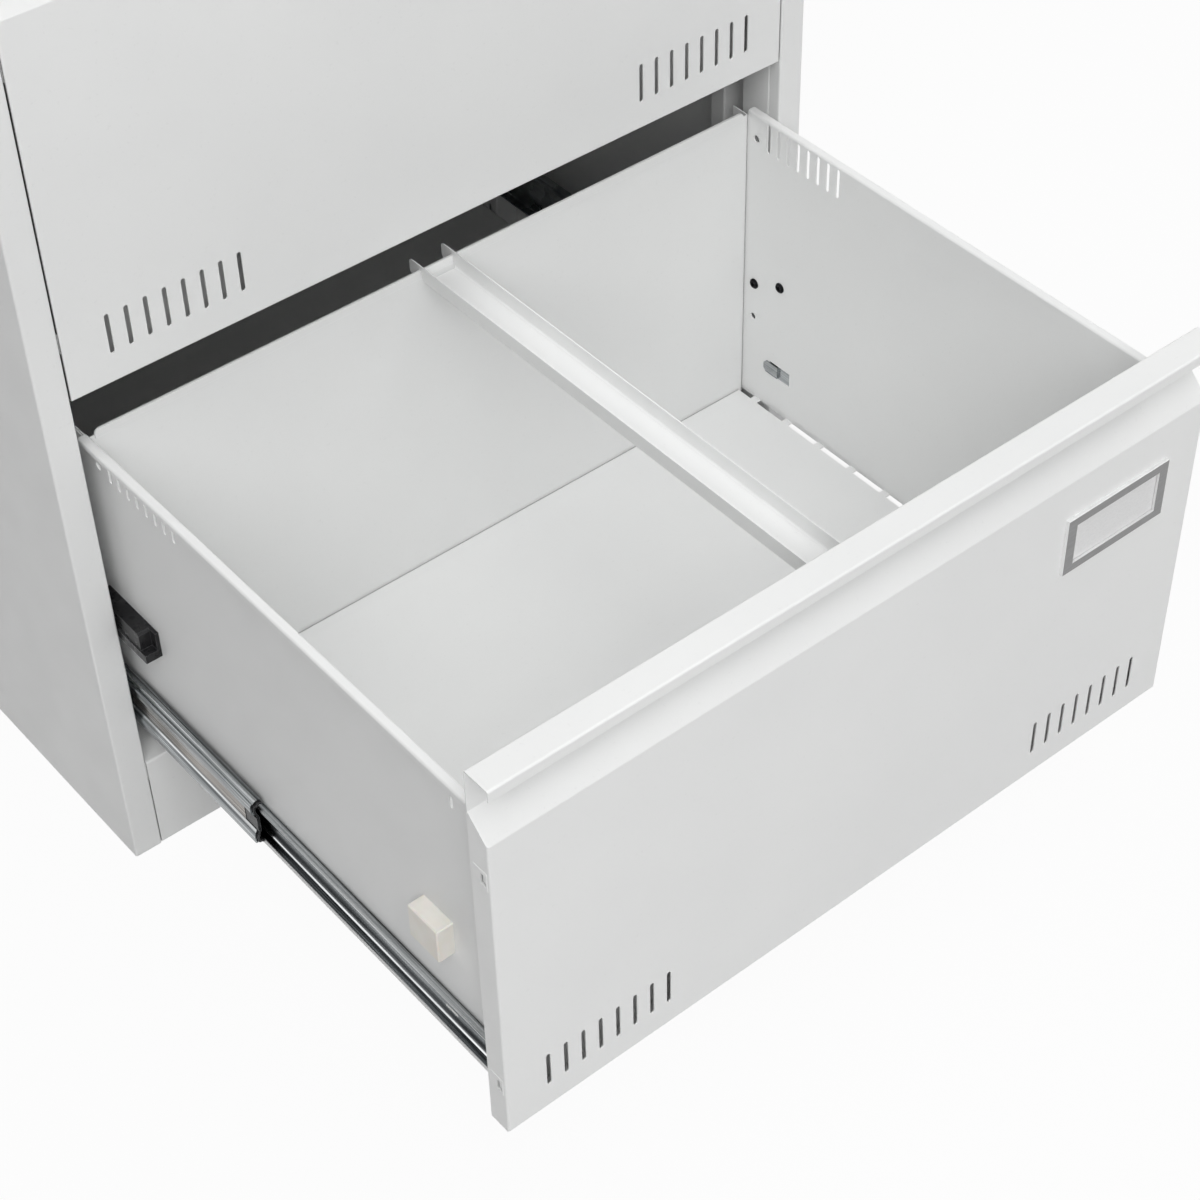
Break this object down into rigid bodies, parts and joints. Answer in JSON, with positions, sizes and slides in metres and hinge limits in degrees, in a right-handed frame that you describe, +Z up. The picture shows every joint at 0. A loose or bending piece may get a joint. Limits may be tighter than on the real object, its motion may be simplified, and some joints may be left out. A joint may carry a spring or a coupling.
{
  "type": "lateral filing cabinet",
  "caption": "Sheet-steel lateral filing cabinet with full-extension drawers on ball-bearing slides, folded finger pulls, vent slots, label holders and sliding dividers; one drawer stands open.",
  "frame": {"origin": "middle of the cabinet's footprint, on the floor", "axes": "+Z up, -Y out of the drawer fronts, +X to the right of a person who faces the drawers"},
  "size_m": [0.6, 0.8463, 0.72],
  "materials": {
    "cabinet_paint": "fine powder coat",
    "front_paint": "fine powder coat",
    "drawer_paint": "fine powder coat",
    "zinc_steel": "zinc plated",
    "label_frame": "satin, bright edges",
    "dark_screw": "black oxide",
    "black_plastic": "moulded",
    "ivory_plastic": "moulded"
  },
  "bodies": {
    "cabinet": {"back_panel": "cabinet_paint", "bottom_panel": "cabinet_paint", "kick_plate": "cabinet_paint", "left_front_upright": "cabinet_paint", "left_post_channel": "cabinet_paint", "left_rear_upright": "cabinet_paint", "left_side_panel": "cabinet_paint", "lower_left_slide_outer": "zinc_steel", "lower_right_slide_outer": "zinc_steel", "right_front_upright": "cabinet_paint", "right_post_channel": "cabinet_paint", "right_rear_upright": "cabinet_paint", "right_side_panel": "cabinet_paint", "slide_screws": "zinc_steel", "top_cap": "cabinet_paint", "upper_left_slide_outer": "zinc_steel", "upper_right_slide_outer": "zinc_steel"},
    "lower_drawer": {"lower_drawer_back": "drawer_paint", "lower_drawer_floor": "drawer_paint", "lower_drawer_front": "front_paint", "lower_drawer_inner_front": "drawer_paint", "lower_drawer_label_holder": "label_frame", "lower_drawer_left_bumper": "ivory_plastic", "lower_drawer_left_catch": "black_plastic", "lower_drawer_left_side": "drawer_paint", "lower_drawer_left_slide_inner": "zinc_steel", "lower_drawer_right_bumper": "ivory_plastic", "lower_drawer_right_catch": "black_plastic", "lower_drawer_right_side": "drawer_paint", "lower_drawer_right_slide_inner": "zinc_steel", "lower_drawer_screws": "dark_screw"},
    "lower_slide_middles": {"lower_left_slide_end_cap": "black_plastic", "lower_left_slide_middle": "zinc_steel", "lower_right_slide_end_cap": "black_plastic", "lower_right_slide_middle": "zinc_steel"},
    "lower_outer_cages": {"lower_outer_ball_cages": "zinc_steel"},
    "lower_inner_cages": {"lower_inner_ball_cages": "zinc_steel"},
    "lower_divider": {"lower_divider": "drawer_paint"},
    "upper_drawer": {"upper_drawer_back": "drawer_paint", "upper_drawer_floor": "drawer_paint", "upper_drawer_front": "front_paint", "upper_drawer_inner_front": "drawer_paint", "upper_drawer_label_holder": "label_frame", "upper_drawer_left_bumper": "ivory_plastic", "upper_drawer_left_catch": "black_plastic", "upper_drawer_left_side": "drawer_paint", "upper_drawer_left_slide_inner": "zinc_steel", "upper_drawer_right_bumper": "ivory_plastic", "upper_drawer_right_catch": "black_plastic", "upper_drawer_right_side": "drawer_paint", "upper_drawer_right_slide_inner": "zinc_steel", "upper_drawer_screws": "dark_screw"},
    "upper_slide_middles": {"upper_left_slide_end_cap": "black_plastic", "upper_left_slide_middle": "zinc_steel", "upper_right_slide_end_cap": "black_plastic", "upper_right_slide_middle": "zinc_steel"},
    "upper_outer_cages": {"upper_outer_ball_cages": "zinc_steel"},
    "upper_inner_cages": {"upper_inner_ball_cages": "zinc_steel"},
    "upper_divider": {"upper_divider": "drawer_paint"}
  },
  "joints": [
    {"name": "lower_drawer_slide", "type": "slide", "parent": "cabinet", "child": "lower_drawer", "axis": [0, -1, 0], "range_m": [-0.3923, 0.0077]},
    {"name": "lower_middle_slide", "type": "slide", "parent": "cabinet", "child": "lower_slide_middles", "axis": [0, -1, 0], "range_m": [-0.19625, 0.00395]},
    {"name": "lower_outer_cage_roll", "type": "slide", "parent": "cabinet", "child": "lower_outer_cages", "axis": [0, -1, 0], "range_m": [-0.09817, 0.00202]},
    {"name": "lower_inner_cage_roll", "type": "slide", "parent": "cabinet", "child": "lower_inner_cages", "axis": [0, -1, 0], "range_m": [-0.29432, 0.00588]},
    {"name": "lower_divider_slide", "type": "slide", "parent": "lower_drawer", "child": "lower_divider", "axis": [1, 0, 0], "range_m": [-0.245, 0.25]},
    {"name": "upper_drawer_slide", "type": "slide", "parent": "cabinet", "child": "upper_drawer", "axis": [0, -1, 0], "range_m": [0, 0.4]},
    {"name": "upper_middle_slide", "type": "slide", "parent": "cabinet", "child": "upper_slide_middles", "axis": [0, -1, 0], "range_m": [0, 0.2001]},
    {"name": "upper_outer_cage_roll", "type": "slide", "parent": "cabinet", "child": "upper_outer_cages", "axis": [0, -1, 0], "range_m": [0, 0.1001]},
    {"name": "upper_inner_cage_roll", "type": "slide", "parent": "cabinet", "child": "upper_inner_cages", "axis": [0, -1, 0], "range_m": [0, 0.3001]},
    {"name": "upper_divider_slide", "type": "slide", "parent": "upper_drawer", "child": "upper_divider", "axis": [1, 0, 0], "range_m": [-0.245, 0.25]}
  ],
  "couplings": [
    {"joint": "lower_middle_slide", "follows": "lower_drawer_slide", "ratio": 0.5},
    {"joint": "lower_outer_cage_roll", "follows": "lower_drawer_slide", "ratio": 0.25},
    {"joint": "lower_inner_cage_roll", "follows": "lower_drawer_slide", "ratio": 0.75},
    {"joint": "upper_middle_slide", "follows": "upper_drawer_slide", "ratio": 0.5},
    {"joint": "upper_outer_cage_roll", "follows": "upper_drawer_slide", "ratio": 0.25},
    {"joint": "upper_inner_cage_roll", "follows": "upper_drawer_slide", "ratio": 0.75}
  ]
}
